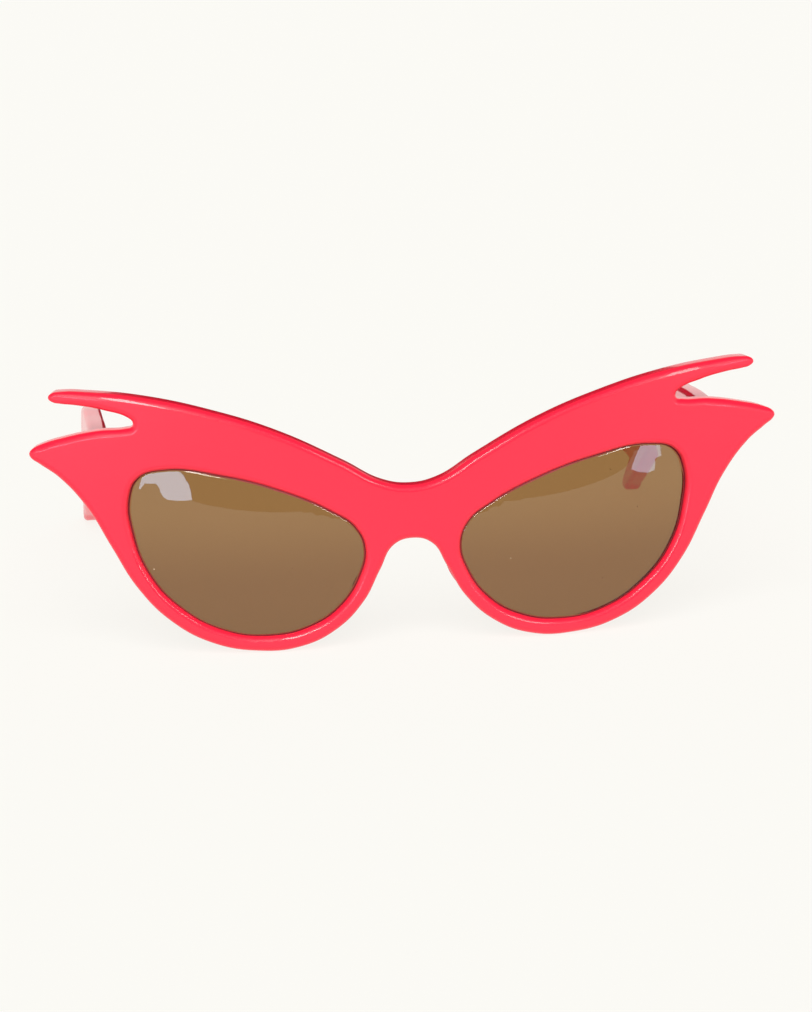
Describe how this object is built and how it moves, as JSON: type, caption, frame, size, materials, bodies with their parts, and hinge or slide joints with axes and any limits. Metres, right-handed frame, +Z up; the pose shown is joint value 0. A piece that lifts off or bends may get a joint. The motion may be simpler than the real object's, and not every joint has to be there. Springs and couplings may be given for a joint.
{
  "type": "cat eye sunglasses",
  "caption": "Winged sunglasses: a thick plastic front whose corners split into two swept points, dark lenses held in grooves, and flat temples that fold on metal hinges.",
  "frame": {"origin": "centre of the footprint on the surface that both rims and both temple tips rest on", "axes": "+X towards the wearer's left temple, +Y from the front back along the temples, +Z up from the resting surface"},
  "size_m": [0.1604, 0.1326, 0.0579],
  "materials": {
    "front_acetate": "coral red cellulose acetate, tumbled and polished to a high gloss",
    "temple_acetate": "coral red cellulose acetate, polished",
    "pad_acetate": "coral red cellulose acetate, polished",
    "lens": "brown tinted optical resin, polished",
    "hinge_metal": "nickel silver, machined and lightly polished",
    "core_wire": "drawn nickel silver wire"
  },
  "bodies": {
    "front": {"frame_front": "front_acetate", "lens_left": "lens", "lens_right": "lens", "nose_pad_left": "pad_acetate", "nose_pad_right": "pad_acetate", "front_hinge_leaf_left": "hinge_metal", "front_hinge_leaf_right": "hinge_metal", "hinge_screw_left": "hinge_metal", "hinge_screw_right": "hinge_metal"},
    "left_temple": {"temple_left": "temple_acetate", "temple_hinge_leaf_left": "hinge_metal", "temple_core_left": "core_wire"},
    "right_temple": {"temple_right": "temple_acetate", "temple_hinge_leaf_right": "hinge_metal", "temple_core_right": "core_wire"}
  },
  "joints": [
    {"name": "left_temple_fold", "type": "hinge", "parent": "front", "child": "left_temple", "pos_m": [-0.0614, -0.05458, 0.04379], "axis": [0, -0.0299, -0.9996], "range_deg": [-4, 94]},
    {"name": "right_temple_fold", "type": "hinge", "parent": "front", "child": "right_temple", "pos_m": [0.0614, -0.05458, 0.04379], "axis": [0, 0.0299, 0.9996], "range_deg": [-4.5, 88]}
  ]
}
